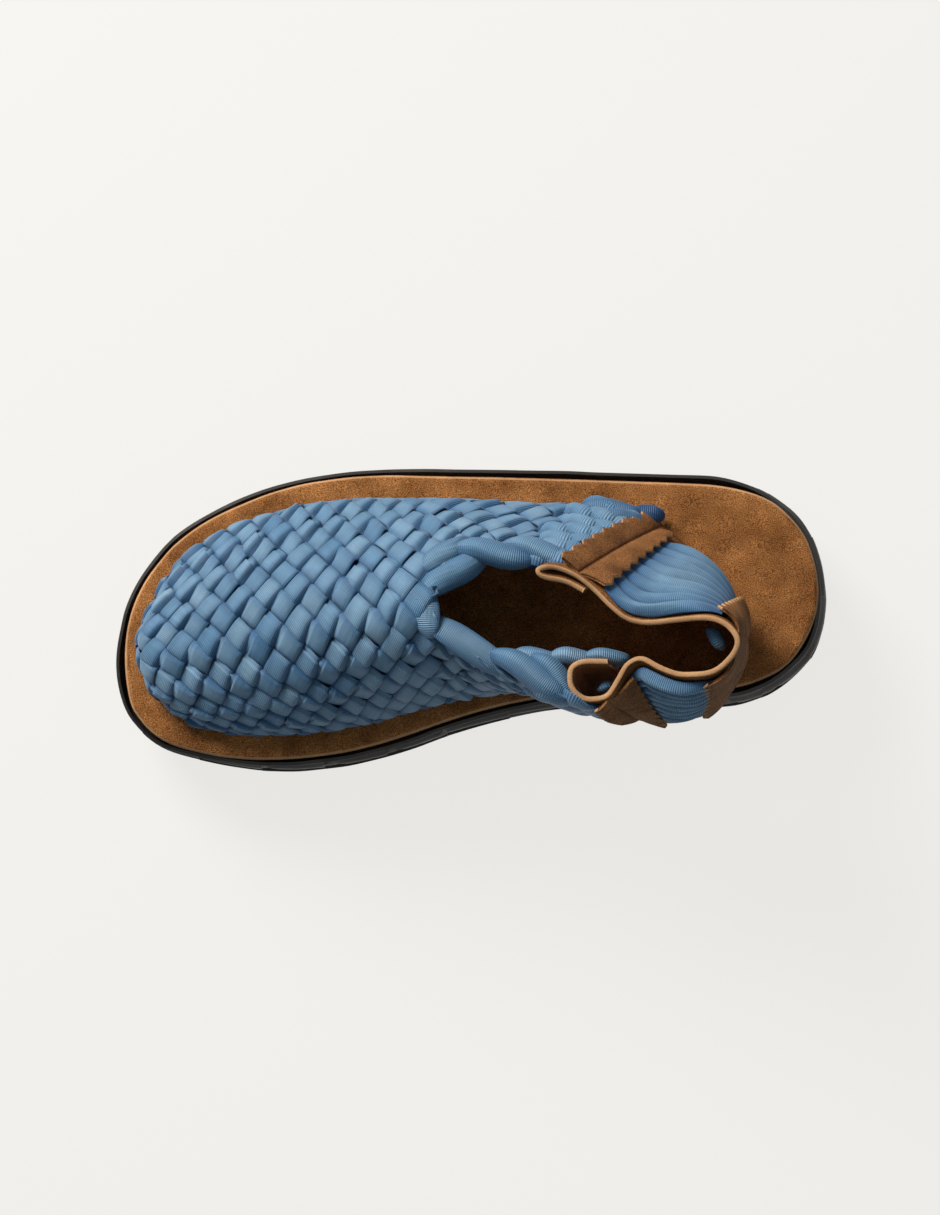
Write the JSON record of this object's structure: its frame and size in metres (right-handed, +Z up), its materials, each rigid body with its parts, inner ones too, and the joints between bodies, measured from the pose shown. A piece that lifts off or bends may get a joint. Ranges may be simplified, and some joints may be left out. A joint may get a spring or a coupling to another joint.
{
  "type": "huarache sandal",
  "caption": "Slip-on sandal with a woven strip upper, suede footbed, suede heel sling with pleated strips and a thick black lugged sole.",
  "frame": {"origin": "on the ground plane, under the middle of the shoe's box", "axes": "+X from toe to heel, +Y to the outer side of the foot, +Z up"},
  "size_m": [0.285, 0.1168, 0.1167],
  "materials": {
    "outsole": "black tread rubber, dusty",
    "heel_window_front": "pale smooth inset",
    "heel_window_back": "pale smooth inset",
    "midsole": "moulded black foam rubber, smooth and pebbled bands",
    "footbed": "brown suede with a short nap",
    "upper": "blue ribbed nylon strips, woven",
    "heel_sling": "brown suede with pale cut edges",
    "heel_strips_inner": "blue ribbed nylon strips, pleated",
    "heel_strips_outer": "blue ribbed nylon strips, pleated"
  },
  "bodies": {
    "root": {"outsole": "outsole", "heel_window_front": "heel_window_front", "heel_window_back": "heel_window_back", "midsole": "midsole", "footbed": "footbed", "upper": "upper", "heel_sling": "heel_sling", "heel_strips_inner": "heel_strips_inner", "heel_strips_outer": "heel_strips_outer"}
  },
  "joints": []
}
